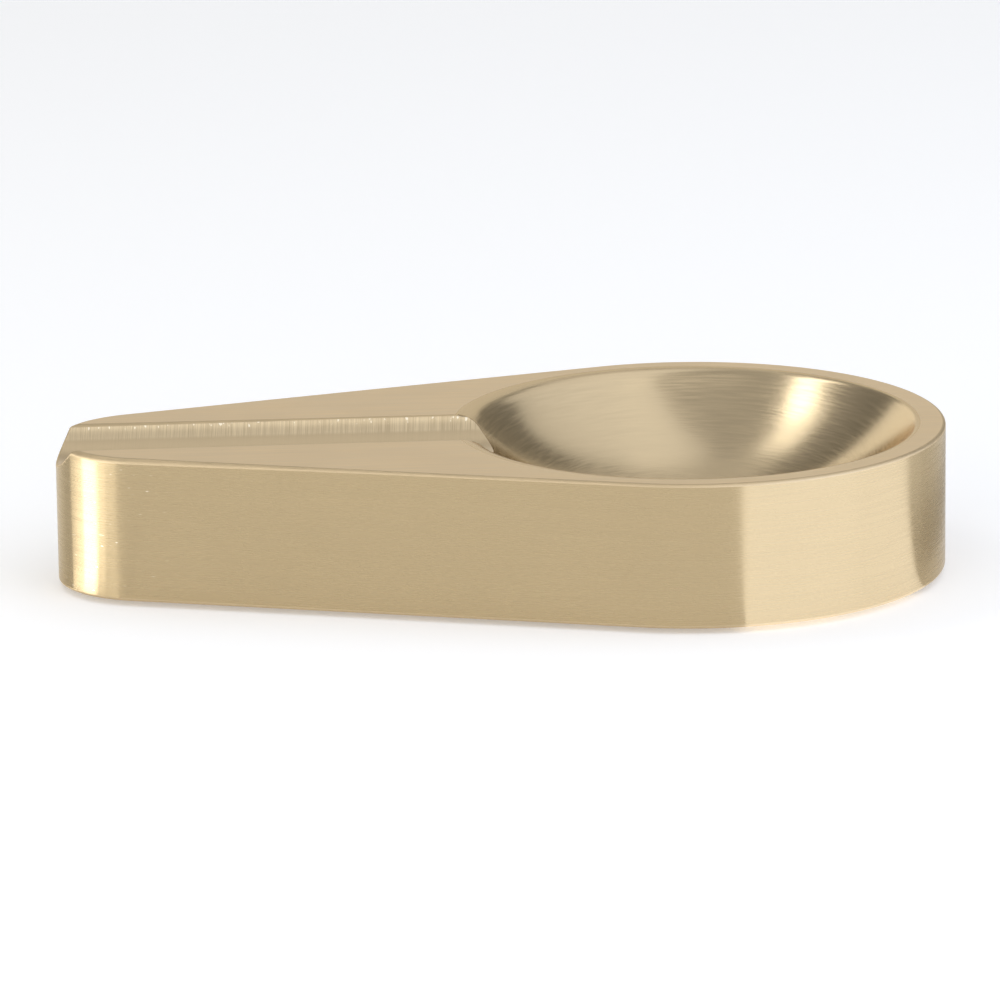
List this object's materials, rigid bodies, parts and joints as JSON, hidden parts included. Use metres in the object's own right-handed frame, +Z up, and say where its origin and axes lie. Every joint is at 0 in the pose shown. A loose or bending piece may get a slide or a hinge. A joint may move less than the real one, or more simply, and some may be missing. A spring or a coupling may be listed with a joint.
{
  "type": "ashtray",
  "caption": "Teardrop ashtray milled from a solid brass block, with a round bowl, a long cradle groove and stuck-on soft feet.",
  "frame": {"origin": "On the surface the ashtray stands on, under the middle of its length and width.", "axes": "+X from the tail to the bowl along the groove, +Y across the block to the back side, +Z up."},
  "size_m": [0.1226, 0.07, 0.0208],
  "materials": {
    "brushed_brass": "brushed satin, lengthwise; groove left as milled",
    "silicone": "matt black moulded silicone",
    "adhesive_tape": "double-sided adhesive tape, hidden between foot and brass"
  },
  "bodies": {
    "root": {"brass_body": "brushed_brass", "foot_tail": "silicone", "foot_front": "silicone", "foot_back": "silicone", "tape_disc_tail": "adhesive_tape", "tape_disc_front": "adhesive_tape", "tape_disc_back": "adhesive_tape"}
  },
  "joints": []
}
